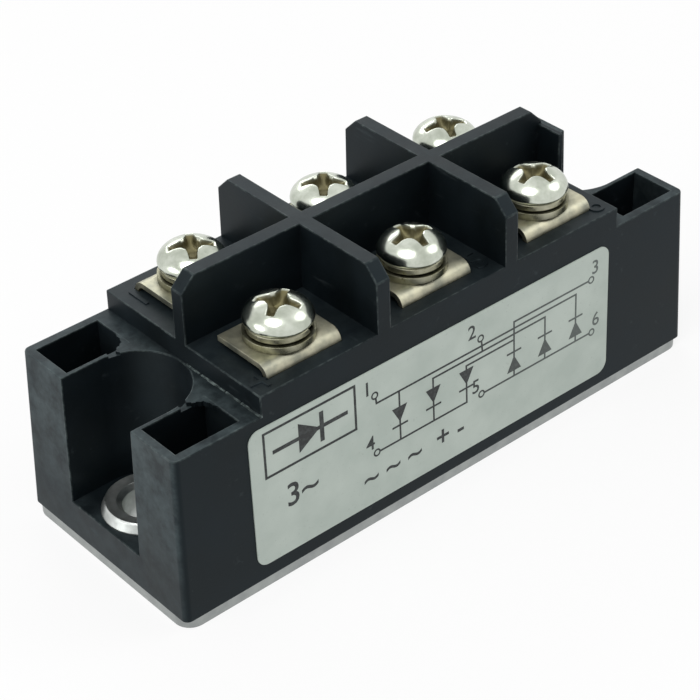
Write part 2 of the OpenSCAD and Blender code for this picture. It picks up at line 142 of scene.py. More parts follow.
def moulded_polyamide():
    """Black glass-filled polyamide, injection moulded in a satin tool.
    It looks blue-black and dull, cloudy where the melt flowed, with painted light that pales the end
    faces, a soft chalky bloom on the tops that hands reach, a few scuffs, and edges worn pale."""
    material, tree = new_material("moulded_black_polyamide")
    place = put(tree, "ShaderNodeTexCoord").outputs["Object"]
    # Glass fibre at the surface, drawn coarser than it is so that it shows
    grain = put(tree, "ShaderNodeTexNoise", {
        "Vector": place, "Scale": spots(0.3), "Detail": 2.0, "Roughness": 0.55,
    })
    # Clouds of the melt, long where it flowed along the housing
    flow = put(tree, "ShaderNodeTexNoise", {
        "Vector": put(tree, "ShaderNodeMapping", {"Vector": place, "Scale": (0.5, 1.0, 0.7)}),
        "Scale": spots(7.0), "Detail": 3.0, "Roughness": 0.55,
    })
    # Scuffs run one way, and a wider noise says where they gather
    scuff = put(tree, "ShaderNodeTexNoise", {
        "Vector": put(tree, "ShaderNodeMapping", {
            "Vector": place, "Scale": (1.0, 0.16, 1.0), "Rotation": (0.3, 0.2, 0.7),
        }),
        "Scale": spots(1.2), "Detail": 3.0, "Roughness": 0.55,
    })
    patch = put(tree, "ShaderNodeTexNoise", {
        "Vector": place, "Scale": spots(6.0), "Detail": 2.0, "Roughness": 0.55,
    })
    chalk = put(tree, "ShaderNodeTexNoise", {
        "Vector": place, "Scale": spots(3.0), "Detail": 5.0, "Roughness": 0.65,
    })
    nick = put(tree, "ShaderNodeTexNoise", {
        "Vector": place, "Scale": spots(1.1), "Detail": 4.0, "Roughness": 0.7,
    })
    rim = put(tree, "ShaderNodeAttribute", attribute_name="rim").outputs["Fac"]
    rub = put(tree, "ShaderNodeMath", {
        0: put(tree, "ShaderNodeMapRange", {"Value": scuff, "From Min": 0.62, "From Max": 0.74}),
        1: put(tree, "ShaderNodeMapRange", {"Value": patch, "From Min": 0.48, "From Max": 0.62}),
    }, operation="MULTIPLY")
    # One pale layer holds painted light on the end faces and a chalky bloom on the tops that hands
    # reach
    end_light_and_bloom = put(tree, "ShaderNodeMath", {
        0: put(tree, "ShaderNodeMapRange", {
            "Value": chalk, "From Min": 0.36, "From Max": 0.64, "To Min": 0.15,
        }),
        1: end_light_and_hand_reach(tree, place),
    }, operation="MULTIPLY")
    worn = put(tree, "ShaderNodeMath", {
        0: rim,
        1: put(tree, "ShaderNodeMapRange", {
            "Value": nick, "From Min": 0.44, "From Max": 0.66, "To Min": 0.14,
        }),
    }, operation="MULTIPLY")
    base = put(tree, "ShaderNodeMix", {
        "Factor": put(tree, "ShaderNodeMapRange", {"Value": flow, "From Min": 0.3, "From Max": 0.7}),
        "A": colour("#080c0e"), "B": colour("#10161a"),
    }, data_type="RGBA")
    pale_layers = ((end_light_and_bloom, 0.60, "#4c5759"), (rub, 0.10, "#727d80"), (worn, 0.22, "#7c8886"))
    for layer, strength, shade in pale_layers:
        share = put(tree, "ShaderNodeMath", {0: layer, 1: strength}, operation="MULTIPLY")
        base = put(tree, "ShaderNodeMix", {"Factor": share, "A": base, "B": colour(shade)},
                   data_type="RGBA")
    gloss = put(tree, "ShaderNodeMapRange", {
        "Value": flow, "From Min": 0.3, "From Max": 0.7, "To Min": 0.42, "To Max": 0.50,
    })
    for layer, duller in ((rub, 0.10), (end_light_and_bloom, 0.05)):
        share = put(tree, "ShaderNodeMath", {0: layer, 1: duller}, operation="MULTIPLY")
        gloss = put(tree, "ShaderNodeMath", {0: gloss, 1: share}, operation="ADD")
    normal = put(tree, "ShaderNodeBump", {"Height": grain, "Distance": 0.008 * MM, "Strength": 1.0})
    for height, depth_mm, strength in ((flow, 0.06, 0.4), (nick, 0.02, 0.3)):
        normal = put(tree, "ShaderNodeBump", {
            "Height": height, "Distance": depth_mm * MM, "Strength": strength, "Normal": normal,
        })
    put(tree, "ShaderNodeOutputMaterial", {
        "Surface": put(tree, "ShaderNodeBsdfPrincipled", {
            "Base Color": base, "Roughness": gloss, "Normal": normal, "IOR": 1.5,
            "Specular IOR Level": 0.18, "Specular Tint": (0.70, 0.91, 1.0, 1.0),
        }),
    })
    return material


METAL_EDGE = 0.12       # how round the edges of metal pieces look, in mm
CORNER_SHADE_REACH = 1.6       # how far the painted shade reaches out of a corner, in mm
# How the grain is drawn out along the part
ROLLED = (0.1, 1.0, 1.0)
BRUSHED = (0.5, 1.0, 1.0)
EVEN = (1.0, 1.0, 1.0)


def plated_metal(name, light, dark, gloss, grain_mm, depth_mm, stretch=EVEN, corner_shade=None,
                 patina=None):
    """Plated or bare metal: two shades of its surface in soft clouds, the grain of the metal,
    drawn coarser than it is so that it shows, painted shade that darkens the corners, and a patina
    down in a recess."""
    material, tree = new_material(name)
    place = put(tree, "ShaderNodeTexCoord").outputs["Object"]
    clouds = put(tree, "ShaderNodeTexNoise", {
        "Vector": place, "Scale": spots(2.5), "Detail": 3.0, "Roughness": 0.55,
    })
    grain = put(tree, "ShaderNodeTexNoise", {
        "Vector": put(tree, "ShaderNodeMapping", {"Vector": place, "Scale": stretch}),
        "Scale": spots(grain_mm), "Detail": 2.0, "Roughness": 0.55,
    })
    base = put(tree, "ShaderNodeMix", {
        "Factor": put(tree, "ShaderNodeMapRange", {
            "Value": clouds, "From Min": 0.35, "From Max": 0.65,
        }),
        "A": colour(dark), "B": colour(light),
    }, data_type="RGBA")
    rough = put(tree, "ShaderNodeMapRange", {
        "Value": clouds, "From Min": 0.3, "From Max": 0.7, "To Min": gloss, "To Max": gloss + 0.08,
    })
    if corner_shade:
        # Painted shade: the colour darkens and dulls in corners, where little light reaches
        corners = put(tree, "ShaderNodeAmbientOcclusion", {"Distance": CORNER_SHADE_REACH * MM}, samples=6)
        corner_shade_share = put(tree, "ShaderNodeMapRange", {
            "Value": corners.outputs["AO"], "From Min": 0.75, "From Max": 0.25,
        })
        base = put(tree, "ShaderNodeMix", {"Factor": corner_shade_share, "A": base, "B": colour(corner_shade)},
                   data_type="RGBA")
        duller = put(tree, "ShaderNodeMath", {0: corner_shade_share, 1: 0.25}, operation="MULTIPLY")
        rough = put(tree, "ShaderNodeMath", {0: rough, 1: duller}, operation="ADD")
    if patina:
        recess = put(tree, "ShaderNodeAttribute", attribute_name="recess").outputs["Fac"]
        share = put(tree, "ShaderNodeMath", {0: recess, 1: 0.9}, operation="MULTIPLY")
        base = put(tree, "ShaderNodeMix", {"Factor": share, "A": base, "B": colour(patina)},
                   data_type="RGBA")
        duller = put(tree, "ShaderNodeMath", {0: recess, 1: 0.28}, operation="MULTIPLY")
        rough = put(tree, "ShaderNodeMath", {0: rough, 1: duller}, operation="ADD")
    normal = put(tree, "ShaderNodeBump", {
        "Height": grain, "Distance": depth_mm * MM, "Strength": 1.0,
        "Normal": put(tree, "ShaderNodeBevel", {"Radius": METAL_EDGE * MM}, samples=4),
    })
    put(tree, "ShaderNodeOutputMaterial", {
        "Surface": put(tree, "ShaderNodeBsdfPrincipled", {
            "Base Color": base, "Metallic": 1.0, "Roughness": rough, "Normal": normal,
        }),
    })
    return material


def label_foil():
    """Printed polyester foil. It looks silver-grey and satin, faintly cloudy and specked, and a
    little uneven where it was pressed on."""
    material, tree = new_material("satin_silver_label_foil")
    place = put(tree, "ShaderNodeTexCoord").outputs["Object"]
    clouds = put(tree, "ShaderNodeTexNoise", {
        "Vector": place, "Scale": spots(7.0), "Detail": 3.0, "Roughness": 0.55,
    })
    speck = put(tree, "ShaderNodeTexNoise", {
        "Vector": place, "Scale": spots(0.35), "Detail": 2.0, "Roughness": 0.55,
    })
    base = put(tree, "ShaderNodeMix", {
        "Factor": put(tree, "ShaderNodeMapRange", {
            "Value": clouds, "From Min": 0.35, "From Max": 0.65,
        }),
        "A": colour("#acb7af"), "B": colour("#b8c2ba"),
    }, data_type="RGBA")
    base = put(tree, "ShaderNodeMix", {
        "Factor": put(tree, "ShaderNodeMapRange", {
            "Value": speck, "From Min": 0.66, "From Max": 0.76, "To Max": 0.35,
        }),
        "A": base, "B": colour("#808983"),
    }, data_type="RGBA")
    put(tree, "ShaderNodeOutputMaterial", {
        "Surface": put(tree, "ShaderNodeBsdfPrincipled", {
            "Base Color": base, "Roughness": 0.5,
            "Normal": put(tree, "ShaderNodeBump", {
                "Height": clouds, "Distance": 0.05 * MM, "Strength": 1.0,
            }),
        }),
    })
    return material


def plain_cast(name, low, high, gloss, size_mm, ior=1.5):
    """Cast, fired or polished material: two near shades in a fine grain."""
    material, tree = new_material(name)
    grain = put(tree, "ShaderNodeTexNoise", {
        "Vector": put(tree, "ShaderNodeTexCoord").outputs["Object"],
        "Scale": spots(size_mm), "Detail": 3.0, "Roughness": 0.55,
    })
    base = put(tree, "ShaderNodeMix", {
        "Factor": put(tree, "ShaderNodeMapRange", {
            "Value": grain, "From Min": 0.35, "From Max": 0.65,
        }),
        "A": colour(low), "B": colour(high),
    }, data_type="RGBA")
    put(tree, "ShaderNodeOutputMaterial", {
        "Surface": put(tree, "ShaderNodeBsdfPrincipled", {
            "Base Color": base, "Roughness": gloss, "IOR": ior,
            "Normal": put(tree, "ShaderNodeBump", {
                "Height": grain, "Distance": 0.01 * MM, "Strength": 1.0,
            }),
        }),
    })
    return material


INK_FADE_X = (0.0, 30.0 * MM)   # the print pales from the label's middle to its right end


def print_ink():
    """Screen-printed black ink. It looks matt and grey-black, thin in places, and paler toward
    the label's worn right end."""
    material, tree = new_material("matt_black_print_ink")
    place = put(tree, "ShaderNodeTexCoord").outputs["Object"]
    coat = put(tree, "ShaderNodeTexNoise", {
        "Vector": place, "Scale": spots(0.5), "Detail": 3.0, "Roughness": 0.55,
    })
    thin = put(tree, "ShaderNodeMapRange", {"Value": coat, "From Min": 0.45, "From Max": 0.75})
    faded = put(tree, "ShaderNodeMapRange", {
        "Value": put(tree, "ShaderNodeSeparateXYZ", {"Vector": place}).outputs["X"],
        "From Min": INK_FADE_X[0], "From Max": INK_FADE_X[1], "To Max": 0.45,
    })
    base = put(tree, "ShaderNodeMix", {
        "Factor": thin, "A": colour("#16191a"), "B": colour("#3c4140"),
    }, data_type="RGBA")
    base = put(tree, "ShaderNodeMix", {
        "Factor": faded, "A": base, "B": colour("#7f8984"),
    }, data_type="RGBA")
    put(tree, "ShaderNodeOutputMaterial", {
        "Surface": put(tree, "ShaderNodeBsdfPrincipled", {"Base Color": base, "Roughness": 0.6}),
    })
    return material


housing_plastic = moulded_polyamide()
foil = label_foil()
ink = print_ink()
# Screws: steel, bright nickel plated. Mirror-like and a little warm, with painted shade in the
# corners and an olive patina down in the cross.
bright_nickel = plated_metal("bright_nickel_on_steel", "#cfd4c8", "#b2b8aa", 0.17, 0.5, 0.008,
                             corner_shade="#3c3b2a", patina="#574f2a")
# Washers: the same plating gone dull and brownish from handling, with painted shade in the corners
washer_nickel = plated_metal("dulled_nickel_on_steel", "#adac98", "#85846e", 0.24, 0.2, 0.006,
                             corner_shade="#2f2e1e")
# Terminals: brass strip, matt nickel plated. Warm grey, with broad soft reflections and painted
# shade in the corners.
dull_nickel = plated_metal("dull_nickel_on_brass", "#bbb8a1", "#8b8c7e", 0.38, 0.25, 0.010, BRUSHED,
                           corner_shade="#4a4838")
# Bushes: turned steel, zinc plated. Cool grey and cloudy, with painted shade in the corners.
zinc = plated_metal("dull_zinc_on_steel", "#cdd1ce", "#adb1ae", 0.32, 0.3, 0.008, corner_shade="#45463f")
# Base plate: rolled copper, nickel plated. Even grey with a fine grain along it.
base_nickel = plated_metal("nickel_on_copper_plate", "#9fa3a1", "#909493", 0.36, 0.2, 0.004,
                           ROLLED)
# Pads, clips and strap inside: rolled copper, left bare. Orange-brown and satin.
bare_copper = plated_metal("bare_rolled_copper", "#c98558", "#a9663f", 0.35, 0.2, 0.004, ROLLED)
# Substrate: fired alumina. Off-white and chalky.
alumina = plain_cast("fired_alumina", "#ddd9cc", "#ebe8dd", 0.55, 0.4, 1.7)
# Gel: poured silicone. Pale blue-grey and wet-looking.
gel = plain_cast("soft_clear_gel", "#aeb9bd", "#c3cdd0", 0.15, 3.0, 1.4)
# Fill: poured epoxy. Black and glossy, faintly cloudy.
epoxy = plain_cast("poured_black_epoxy", "#0d0e0f", "#16181a", 0.25, 2.0)
# Chips: polished silicon. Dark blue-grey, glossy.
silicon = plain_cast("polished_silicon", "#3a3b42", "#4a4b54", 0.2, 1.0, 3.4)

finishes = {
    "moulding": housing_plastic,
    "fastener_steel": bright_nickel,
    "terminal_metal": dull_nickel,
    "bush_metal": zinc,
    "base_metal": base_nickel,
    "bare_copper": bare_copper,
    "label_foil": foil,
    "substrate_ceramic": alumina,
    "gel": gel,
    "epoxy": epoxy,
    "silicon": silicon,
}

for part in frame["record"]["subparts"]:
    mesh = frame["nodes"][part["node"]].data
    mesh.materials.clear()
    mesh.materials.append(finishes[part["material_slot"]])

# The washers are duller than the screws on them
for node in ("flat_washers", "spring_washers"):
    frame["nodes"][node].data.materials[0] = washer_nickel


# ---------- small helpers for shapes ----------

def on_scene(name, data):
    """A new object with this data, in the scene."""
    thing = bpy.data.objects.new(name, data)
    bpy.context.scene.collection.objects.link(thing)
    return thing


def as_mesh(bm, name, material=None):
    """Turns bm into a mesh and frees it."""
    mesh = bpy.data.meshes.new(name)
    bm.to_mesh(mesh)
    bm.free()
    if material:
        mesh.materials.append(material)
    return mesh


def mesh_object(name, build, material):
    """A mesh object made by build(bm)."""
    bm = bmesh.new()
    build(bm)
    return on_scene(name, as_mesh(bm, name, material))


def evaluated_mesh(thing):
    """A mesh of the object as it is with its modifiers."""
    bpy.context.view_layer.update()
    view = bpy.context.evaluated_depsgraph_get()
    return bpy.data.meshes.new_from_object(thing.evaluated_get(view))


def slab(bm, points, low, high):
    """A closed plate from low to high, with an outline in mm that runs counter-clockwise."""
    below = [bm.verts.new((x * MM, y * MM, low * MM)) for x, y in points]
    above = [bm.verts.new((x * MM, y * MM, high * MM)) for x, y in points]
    bm.faces.new(above)
    bm.faces.new(below[::-1])
    for i in range(len(points)):
        j = (i + 1) % len(points)
        bm.faces.new((below[i], below[j], above[j], above[i]))


def mirrored(points):
    """The same outline on the +Y side."""
    return [(x, -y) for x, y in reversed(points)]


def counter_clockwise(points):
    """The outline, turned round if it runs clockwise."""
    area = sum(a[0] * b[1] - b[0] * a[1] for a, b in zip(points, points[1:] + points[:1]))
    return points if area > 0 else points[::-1]


# ---------- housing ----------

END_Z = 27.0                    # tops of the end blocks
STEP_X = -32.3                  # foot of the middle block at the open end
EDGE_R = 0.2                    # rounding of outward edges
EDGE_SHAPE = 0.6                # a little fuller than a circle's arc
RIM_FROM_Z = 2.0                # the rounding starts above the housing's foot
HOLLOW = (31.5, 16.2, 30.2)     # half length, half width and top of what is hidden inside
WELD = 0.001                    # corners closer than this are one corner
FLAT = math.radians(0.5)        # faces that meet under a smaller angle are one face
CORNER = math.radians(25)       # edges sharper than this are rounded
CREASE = math.radians(40)       # edges sharper than this stay sharp

# Ragged outlines at the well on the -Y side of the open end, in mm
CHIP = [(-39.0, -8.7), (-38.6, -7.9), (-38.8, -7.1), (-38.1, -6.5), (-37.3, -6.4), (-37.1, -7.0),
        (-37.4, -7.6), (-36.9, -8.0), (-37.3, -8.7), (-38.1, -8.9)]
FLASH = [(-37.0, -8.05), (-36.6, -8.35), (-36.3, -8.3), (-35.9, -8.7), (-35.6, -8.75),
         (-35.45, -9.3), (-35.2, -9.7), (-35.25, -10.3), (-34.9, -10.9), (-34.9, -8.0)]
CHIP_DEPTH = (0.6, 0.4)         # on the -Y side, on the +Y side
CLEAR = 0.5                     # how far a cutter stands out of what it cuts


def is_outer_corner(edge):
    """True for a sharp, outward edge that shows."""
    if len(edge.link_faces) != 2 or edge.calc_face_angle_signed(0) < CORNER:
        return False
    middle = (edge.verts[0].co + edge.verts[1].co) / 2 / MM
    inside = abs(middle.x) < HOLLOW[0] and abs(middle.y) < HOLLOW[1] and middle.z < HOLLOW[2]
    return middle.z > RIM_FROM_Z and not inside


def chip_cutter(bm):
    """The two flakes that are missing."""
    for outline, depth in zip((CHIP, mirrored(CHIP)), CHIP_DEPTH):
        slab(bm, counter_clockwise(outline), END_Z - depth, END_Z + CLEAR)


def chipped(piece):
    """The piece's mesh with the two chips broken out of the thin webs beside the recess."""
    cutter = mesh_object("chip_cutter", chip_cutter, housing_plastic)
    cut = piece.modifiers.new("chips", "BOOLEAN")
    cut.object = cutter
    cut.operation = "DIFFERENCE"
    cut.solver = "EXACT"
    mesh = evaluated_mesh(piece)
    piece.modifiers.remove(cut)
    bpy.data.objects.remove(cutter)
    return mesh


def add_housing():
    """The moulding with its outward edges rounded, as the tool leaves them."""
    bm = bmesh.new()
    bm.from_mesh(frame["nodes"]["housing"].data)
    bmesh.ops.remove_doubles(bm, verts=bm.verts, dist=WELD * MM)
    bmesh.ops.dissolve_limit(bm, angle_limit=FLAT, verts=bm.verts, edges=bm.edges)
    rim = bm.faces.layers.float.new("rim")
    edges = [edge for edge in bm.edges if is_outer_corner(edge)]
    rounded = bmesh.ops.bevel(bm, geom=edges, offset=EDGE_R * MM, offset_type="OFFSET", segments=2,
                              profile=EDGE_SHAPE, affect="EDGES", clamp_overlap=False)
    for face in bm.faces:
        face.smooth = True
    for face in rounded["faces"]:
        face[rim] = 1.0
    for edge in bm.edges:
        edge.smooth = len(edge.link_faces) == 2 and edge.calc_face_angle(0) < CREASE
    piece = on_scene("housing_moulding", as_mesh(bm, "housing_moulding", housing_plastic))
    piece.data = chipped(piece)
    flatten = piece.modifiers.new("flat_faces", "WEIGHTED_NORMAL")
    flatten.keep_sharp = True
    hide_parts("housing")
    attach(piece, "root")


add_housing()


# ---------- label print ----------

DRAFT = math.radians(1.8)           # lean of the labelled side
LABEL_SLOPE = math.radians(0.3)     # the label was stuck on a little askew
LABEL_T = 0.15
INK_T = 0.02
LINE_W = 0.3                        # widths of the printed lines
FRAME_W = 0.38
LEAD_W = 0.6
BAR_W = 0.7
END_RING_R = 0.5                    # ring at the end of a circuit line
END_RING_W = 0.25


def label_plane():
    """Turns label coordinates (right, up, outward, from its middle) into the part's."""
    low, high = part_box("label")
    middle = (Vector(low) + Vector(high)) / 2
    lean = Matrix.Rotation(math.pi / 2 - DRAFT, 4, "X")
    slope = Matrix.Rotation(-LABEL_SLOPE, 4, "Z")
    outward = Matrix.Translation((0, 0, LABEL_T * MM / 2))
    return Matrix.Translation(middle) @ lean @ slope @ outward


def film(bm, points):
    """A closed film of ink on the label, sunk a little into it."""
    slab(bm, points, -INK_T / 4, INK_T)


def line(bm, start, end, width=LINE_W):
    """A straight printed line with square ends."""
    (x0, y0), (x1, y1) = start, end
    along = Vector((x1 - x0, y1 - y0)).normalized() * width / 2
    side = Vector((-along.y, along.x))
    first, last = Vector(start) - along, Vector(end) + along
    film(bm, [first + side, first - side, last - side, last + side])


def ring(bm, centre, radius=END_RING_R, width=END_RING_W, steps=20):
    """A printed ring, as one closed band."""
    inner, outer = radius - width / 2, radius + width / 2
    corners = ((inner, -INK_T / 4), (outer, -INK_T / 4), (outer, INK_T), (inner, INK_T))
    loops = []
    for i in range(steps):
        turn = 2 * math.pi * i / steps
        loops.append([
            bm.verts.new(((centre[0] + r * math.cos(turn)) * MM,
                          (centre[1] + r * math.sin(turn)) * MM, z * MM))
            for r, z in corners
        ])
    for i in range(steps):
        here, there = loops[i], loops[(i + 1) % steps]
        for k in range(4):
            m = (k + 1) % 4
            bm.faces.new((there[k], there[m], here[m], here[k]))


def diode(bm, x, base_y, tip_y, bar_y, half=1.35, inset=0.1):
    """The diode symbol: a filled triangle and, past its tip, a bar that is inset at both ends."""
    corners = [(x - half, base_y), (x, tip_y), (x + half, base_y)]
    film(bm, corners if tip_y < base_y else corners[::-1])
    line(bm, (x - half + inset, bar_y), (x + half - inset, bar_y))


def circuit(bm):
    """Three-phase bridge: three diodes down to the left bus, three up from the right bus."""
    left_x, right_x = (-7.4, -1.3, 4.85), (13.95, 20.0, 26.15)
    phase_y, bus_y, tap_y = (5.2, 4.25, 3.3), -2.75, 6.25
    line(bm, (-11.4, phase_y[0]), (right_x[2], phase_y[0]))
    line(bm, (left_x[1], phase_y[1]), (right_x[1], phase_y[1]))
    line(bm, (left_x[2], phase_y[2]), (right_x[0], phase_y[2]))
    line(bm, (right_x[0], tap_y), (28.6, tap_y))
    line(bm, (right_x[0], tap_y), (right_x[0], bus_y))
    line(bm, (right_x[1], phase_y[1]), (right_x[1], bus_y))
    line(bm, (right_x[2], phase_y[0]), (right_x[2], bus_y))
    for x, y in zip(left_x, phase_y):
        line(bm, (x, y), (x, bus_y))
        diode(bm, x, 2.7, 0.2, -0.35)
    for x in right_x:
        diode(bm, x, -1.85, 0.65, 1.3)
    line(bm, (-11.0, bus_y), (left_x[2], bus_y))
    line(bm, (8.3, bus_y), (28.9, bus_y))
    ring(bm, (-11.65, 6.55))
    line(bm, (-11.5, 6.05), (-11.4, phase_y[0]))
    ring(bm, (7.6, 6.5))
    line(bm, (7.75, 6.0), (7.9, phase_y[1]))
    ring(bm, (29.2, tap_y))
    ring(bm, (-11.65, bus_y))
    ring(bm, (7.65, bus_y))
    ring(bm, (29.5, bus_y))


def block_symbol(bm):
    """Framed symbol of a rectifier, at the label's left."""
    left, right, low, high = -30.3, -15.05, 2.85, 9.75
    for a, b in (((left, low), (right, low)), ((left, high), (right, high)),
                 ((left, low), (left, high)), ((right, low), (right, high))):
        line(bm, a, b, FRAME_W)
    x, y = (left + right) / 2, (low + high) / 2
    line(bm, (left + 1.6, y), (right - 1.6, y), LEAD_W)
    film(bm, [(x - 2.0, y + 2.3), (x - 2.0, y - 2.3), (x + 1.6, y)])
    line(bm, (x + 1.9, y - 2.0), (x + 1.9, y + 2.0), BAR_W)


def united(piece):
    """The piece's mesh with the shells that overlap joined into one."""
    join = piece.modifiers.new("united", "BOOLEAN")
    join.operand_type = "COLLECTION"
    join.operation = "UNION"
    join.solver = "EXACT"
    join.use_self = True
    mesh = evaluated_mesh(piece)
    piece.modifiers.remove(join)
    return mesh


DIGIT_SHARE = 0.7       # a digit's height as a share of its font size


def add_signs(items, name, material, place, raise_mm, stroke=0.0):
    """Plain digits and signs as one piece. Each item is (text, x, y, height), and stroke thickens
    its lines by a share of the height."""
    bm = bmesh.new()
    for text, x, y, height in items:
        curve = bpy.data.curves.new(name, "FONT")
        curve.body = text
        curve.size = height * MM / DIGIT_SHARE
        curve.align_x = "CENTER"
        curve.align_y = "CENTER"
        curve.extrude = raise_mm * MM
        curve.offset = stroke * height * MM
        curve.resolution_u = 3
        letter = on_scene(name, curve)
        mesh = evaluated_mesh(letter)
        mesh.transform(Matrix.Translation((x * MM, y * MM, 0)))
        bpy.data.objects.remove(letter)
        bm.from_mesh(mesh)
    bmesh.ops.remove_doubles(bm, verts=bm.verts, dist=WELD * MM / 2)
    bmesh.ops.recalc_face_normals(bm, faces=bm.faces)
    mesh = as_mesh(bm, name, material)
    mesh.transform(place)
    return on_scene(name, mesh)


on_label = label_plane()
for name, build in (("label_circuit", circuit), ("label_symbol", block_symbol)):
    piece = mesh_object(name, build, ink)
    piece.data = united(piece)
    piece.data.transform(on_label)
    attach(piece, "root")

numbers = add_signs([
    ("1", -12.9, 8.0, 2.2), ("2", 6.0, 8.1, 2.2), ("3", 30.0, 8.0, 2.2),
    ("4", -12.7, -0.9, 2.2), ("5", 6.6, -1.1, 2.2), ("6", 30.3, -0.9, 2.2),
    ("3~", -24.6, -2.0, 3.6), ("~ ~ ~  + -", -4.9, -6.4, 3.2),
], "label_numbers", ink, on_label, INK_T / 2, 0.014)
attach(numbers, "root")


# ---------- numbers on the deck ----------

DECK_Z = 30.0
MARK_H = 4.0
MARK_RAISE = 0.18

# Each row's numbers as (text, right, up), read from its own side
MARK_ROWS = {
    "front_marks": (0.0, [("4", -30.4, -13.6), ("5", 8.6, -12.6), ("6", 30.2, -13.6)]),
    "back_marks": (math.pi, [("1", 30.2, -12.0), ("2", 8.6, -12.6), ("3", -30.4, -13.6)]),
}

for name, (turn, row) in MARK_ROWS.items():
    place = Matrix.Rotation(turn, 4, "Z") @ Matrix.Translation((0, 0, DECK_Z * MM))
    signs = [(text, x, y, MARK_H) for text, x, y in row]
    piece = add_signs(signs, name, housing_plastic, place, MARK_RAISE)
    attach(piece, "root")


# ---------- flash on the open end ----------

BEAD_Y = (-16.6, -1.2)      # the bead runs from the -Y side almost to the middle
SUNK = 0.05                 # how far flash reaches into the moulding
FLASH_Z = (0.8, 0.04)       # bottom and top of the flash at the wells, below the end block's top


def step_bead(bm):
    """Thin uneven line of flash along the foot of the middle block's step."""
    dice = random.Random(5)
    y, end = BEAD_Y
    while y < end:
        length = dice.uniform(0.5, 1.6)
        wide = dice.uniform(0.20, 0.32)
        left, right = STEP_X - wide, STEP_X + SUNK
        far = min(y + length, end)
        slab(bm, [(left, y), (right, y), (right, far), (left, far)],
             END_Z - SUNK, END_Z + dice.uniform(0.10, 0.20))
        y += length + (0.25 if dice.random() < 0.25 else 0.0)


def well_flash(bm):
    """Ragged flash in the inner corner of each well at the open end."""
    for outline in (FLASH, mirrored(FLASH)):
        slab(bm, counter_clockwise(outline), END_Z - FLASH_Z[0], END_Z - FLASH_Z[1])


# The bead is rubbed pale, the flash at the wells isn't
for name, build, paleness in (("step_bead", step_bead, 4.0), ("well_flash", well_flash, 0.0)):
    piece = mesh_object(name, build, housing_plastic)
    rim = piece.data.attributes.new("rim", "FLOAT", "FACE")
    for value in rim.data:
        value.value = paleness
    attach(piece, "root")


# ---------- terminal screws ----------

HEAD_R = 4.75
HEAD_H = 3.2
HEAD_EDGE = 0.5         # radius under the head's rim
SCREW_R = 2.5
SCREW_L = 12.0
POINT = 0.5             # slant at the screw's end
CROSS_REACH = 3.2       # from the middle to the end of an arm
CROSS_DEPTH = 2.1
CROSS_FLAT = 0.6        # the recess is deepest this far from the middle
ARM_HALF = 0.42         # half the width of an arm, far out
ARM_FLARE = 0.42        # how strongly the arms widen toward the middle
WALL_STEEPNESS = 3.6
LIP = 0.07              # softness of the recess's edges
PATINA_DEPTH = 0.25     # the patina is full this far under the lip
SCREW_CREASE = math.radians(44)
# How far the screws on terminals 1 to 6 came to be turned, in degrees
TURNS = (58, 50, 69, 31, -3, 8)

terminal_seats = [mount["pos_m"] for mount in frame["record"]["mounts"]
                  if mount["name"].startswith("terminal_")]


def arm_half_width(along):
    """Half the width of an arm at a distance from the screw's middle."""
    return ARM_HALF + ARM_FLARE / max(along - ARM_HALF, 0.05)


def dome_height(radius):
    """Height of the plain head above its underside."""
    return HEAD_EDGE + (HEAD_H - HEAD_EDGE) * math.sqrt(max(0.0, 1 - (radius / HEAD_R) ** 2))


def head_top(x, y):
    """Height of the head above its underside, and how deep the recess goes there."""
    dome = dome_height(math.hypot(x, y))
    along, aside = max(abs(x), abs(y)), min(abs(x), abs(y))
    deepest = HEAD_H - CROSS_DEPTH
    rise = (dome_height(CROSS_REACH) - deepest) / (CROSS_REACH - CROSS_FLAT)
    floor = deepest + rise * max(0.0, along - CROSS_FLAT)
    if along > CROSS_REACH:
        floor += (along - CROSS_REACH) * WALL_STEEPNESS
    wall = dome - (arm_half_width(along) - aside) * WALL_STEEPNESS
    cut = max(wall, floor)
    lower = min(dome, cut)
    top = lower - LIP * math.log(math.exp((lower - dome) / LIP) + math.exp((lower - cut) / LIP))
    return top, dome - top


def wall_turn(radius):
    """Angle from an arm's middle line at which a circle meets the arm's side."""
    low, high = 0.0, math.pi / 4
    for _ in range(30):
        middle = (low + high) / 2
        if radius * math.sin(middle) < arm_half_width(radius * math.cos(middle)):
            low = middle
        else:
            high = middle
    return min(max(low, math.radians(4)), math.radians(38))


def ring_turns(radius):
    """Angles round a circle, close together at the sides of the arms."""
    side = wall_turn(radius)
    eighth = [side * f for f in (0.0, 0.4, 0.7, 0.88, 1.0)]
    eighth += [side + (math.pi / 4 - side) * f for f in (0.07, 0.17, 0.36, 0.66, 1.0)]
    quarter = eighth + [math.pi / 2 - t for t in eighth[-2:0:-1]]
    return [t + k * math.pi / 2 for k in range(4) for t in quarter]


def head_radii():
    """Radii of the head's rings: even over the recess, close at the ends of its arms, and closing
    up toward the rim."""
    radii = [0.2 * i for i in range(1, 15)] + [2.8 + 0.09 * i for i in range(1, 11)]
    last = math.acos(radii[-1] / HEAD_R)
    return radii + [HEAD_R * math.cos(last * (1 - i / 10)) for i in range(1, 11)]


